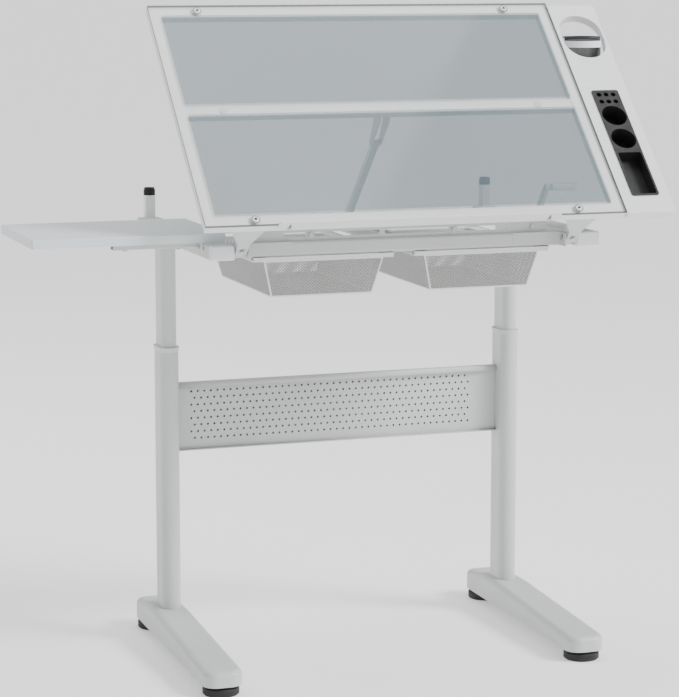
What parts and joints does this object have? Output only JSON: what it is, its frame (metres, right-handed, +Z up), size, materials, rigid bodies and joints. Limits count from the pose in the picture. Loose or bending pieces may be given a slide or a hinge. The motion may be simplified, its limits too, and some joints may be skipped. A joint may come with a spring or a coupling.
{
  "type": "drafting table",
  "caption": "Crank-height drafting table with a tilting glass board on a steel frame, side panel with cup and organizer, side shelf and mesh drawers.",
  "frame": {"origin": "on the floor, midway between the two columns and on their common centre line", "axes": "+Z up, +X to the right of a person sitting at the table, -Y towards that person"},
  "size_m": [1.327, 0.6718, 1.3842],
  "materials": {
    "frame_paint": "satin light grey powder coat",
    "frame_white": "satin white powder coat",
    "collar_plastic": "matte light grey",
    "white_plastic": "satin white",
    "white_board": "white laminate on fibreboard",
    "grey_board": "pale grey laminate on particle board",
    "white_wire": "white enamelled steel",
    "ledge_paint": "satin white",
    "grip_plastic": "satin white",
    "black_rubber": "matte black",
    "black_plastic": "satin black",
    "black_mesh": "black enamelled steel mesh",
    "glass": "tempered, faint blue-grey",
    "clear_pad": "clear vinyl",
    "zinc_steel": "zinc plated",
    "brass": "turned",
    "nylon": "natural nylon"
  },
  "bodies": {
    "base": {"foot_left": "frame_paint", "foot_right": "frame_paint", "column_outer_left": "frame_paint", "column_outer_right": "frame_paint", "column_collars": "collar_plastic", "nut_pillars": "frame_paint", "lead_nuts": "brass", "foot_bolts": "zinc_steel", "modesty_panel": "frame_paint", "panel_tabs": "frame_paint", "panel_screws": "zinc_steel"},
    "lift": {"column_inner_left": "frame_paint", "column_inner_right": "frame_paint", "rail_left": "frame_paint", "rail_right": "frame_paint", "rail_caps": "white_plastic", "front_beam": "frame_paint", "rear_tie": "frame_paint", "apron": "frame_paint", "hinge_lugs": "frame_paint", "hinge_pins": "zinc_steel", "shaft_bushes": "nylon", "screw_bearings": "nylon", "drawer_runners": "frame_paint", "rest_posts": "frame_white", "rest_pads": "black_rubber", "side_board": "grey_board", "side_board_bars": "frame_paint", "frame_screws": "zinc_steel", "prop_track": "frame_paint"},
    "drive_shaft": {"cross_shaft": "zinc_steel", "shaft_gears": "zinc_steel", "crank_arm": "frame_paint"},
    "crank_grip": {"crank_grip": "grip_plastic"},
    "lead_screw_left": {"lead_screw_left": "zinc_steel"},
    "lead_screw_right": {"lead_screw_right": "zinc_steel"},
    "board": {"board_frame": "frame_white", "hinge_arms": "frame_paint", "arm_screws": "zinc_steel", "glass_top": "glass", "glass_bolts": "zinc_steel", "glass_pads": "clear_pad", "prop_bracket": "frame_paint", "side_panel": "white_board", "panel_brackets": "frame_paint", "board_screws": "zinc_steel"},
    "prop": {"prop_bar": "zinc_steel", "prop_foot": "zinc_steel"},
    "cup_holder": {"cup_holder": "white_plastic"},
    "pencil_cup": {"pencil_cup": "black_mesh"},
    "organizer": {"organizer": "black_plastic"},
    "pencil_ledge": {"pencil_ledge": "ledge_paint"},
    "drawer_left": {"drawer_left_rim": "white_wire", "drawer_left_basket": "white_wire"},
    "drawer_right": {"drawer_right_rim": "white_wire", "drawer_right_basket": "white_wire"},
    "glide_front_left": {"glide_front_left": "black_rubber"},
    "glide_rear_left": {"glide_rear_left": "black_rubber"},
    "glide_front_right": {"glide_front_right": "black_rubber"},
    "glide_rear_right": {"glide_rear_right": "black_rubber"}
  },
  "joints": [
    {"name": "height", "type": "slide", "parent": "base", "child": "lift", "axis": [0, 0, 1], "range_m": [-0.22, 0.08]},
    {"name": "crank", "type": "hinge", "parent": "lift", "child": "drive_shaft", "pos_m": [0, 0, 0.897], "axis": [1, 0, 0], "continuous": true},
    {"name": "crank_grip_spin", "type": "hinge", "parent": "drive_shaft", "child": "crank_grip", "pos_m": [0.509, -0.059, 0.977], "axis": [1, 0, 0], "continuous": true},
    {"name": "screw_left", "type": "hinge", "parent": "lift", "child": "lead_screw_left", "pos_m": [-0.396, 0, 0.7], "axis": [0, 0, 1], "continuous": true},
    {"name": "screw_right", "type": "hinge", "parent": "lift", "child": "lead_screw_right", "pos_m": [0.396, 0, 0.7], "axis": [0, 0, 1], "continuous": true},
    {"name": "tilt", "type": "hinge", "parent": "lift", "child": "board", "pos_m": [0, -0.431, 0.91], "axis": [1, 0, 0], "range_deg": [-44, 1]},
    {"name": "prop_pivot", "type": "hinge", "parent": "board", "child": "prop", "pos_m": [0, -0.23318, 1.10103], "axis": [1, 0, 0], "range_deg": [-2, 88]},
    {"name": "cup_level", "type": "hinge", "parent": "board", "child": "cup_holder", "pos_m": [0.507, -0.14826, 1.30676], "axis": [1, 0, 0], "range_deg": [-1, 44]},
    {"name": "cup_lift", "type": "slide", "parent": "cup_holder", "child": "pencil_cup", "axis": [0, 0, 1], "range_m": [0, 0.034]},
    {"name": "organizer_lift", "type": "slide", "parent": "board", "child": "organizer", "axis": [0, -0.6947, 0.7193], "range_m": [0, 0.06]},
    {"name": "ledge_slide", "type": "slide", "parent": "board", "child": "pencil_ledge", "axis": [0, -0.6947, 0.7193], "range_m": [-0.01, 0]},
    {"name": "drawer_left_slide", "type": "slide", "parent": "lift", "child": "drawer_left", "axis": [0, -1, 0], "range_m": [0, 0.3]},
    {"name": "drawer_right_slide", "type": "slide", "parent": "lift", "child": "drawer_right", "axis": [0, -1, 0], "range_m": [0, 0.3]},
    {"name": "glide_front_left_screw", "type": "slide", "parent": "base", "child": "glide_front_left", "axis": [0, 0, 1], "range_m": [-0.012, 0.003]},
    {"name": "glide_rear_left_screw", "type": "slide", "parent": "base", "child": "glide_rear_left", "axis": [0, 0, 1], "range_m": [-0.012, 0.003]},
    {"name": "glide_front_right_screw", "type": "slide", "parent": "base", "child": "glide_front_right", "axis": [0, 0, 1], "range_m": [-0.012, 0.003]},
    {"name": "glide_rear_right_screw", "type": "slide", "parent": "base", "child": "glide_rear_right", "axis": [0, 0, 1], "range_m": [-0.012, 0.003]}
  ],
  "couplings": [
    {"joint": "crank", "follows": "height", "rad_per_m": -314.16},
    {"joint": "screw_left", "follows": "height", "rad_per_m": 314.16},
    {"joint": "screw_right", "follows": "height", "rad_per_m": 314.16},
    {"joint": "prop_pivot", "follows": "tilt", "ratio": -2},
    {"joint": "cup_level", "follows": "tilt", "ratio": -1}
  ]
}
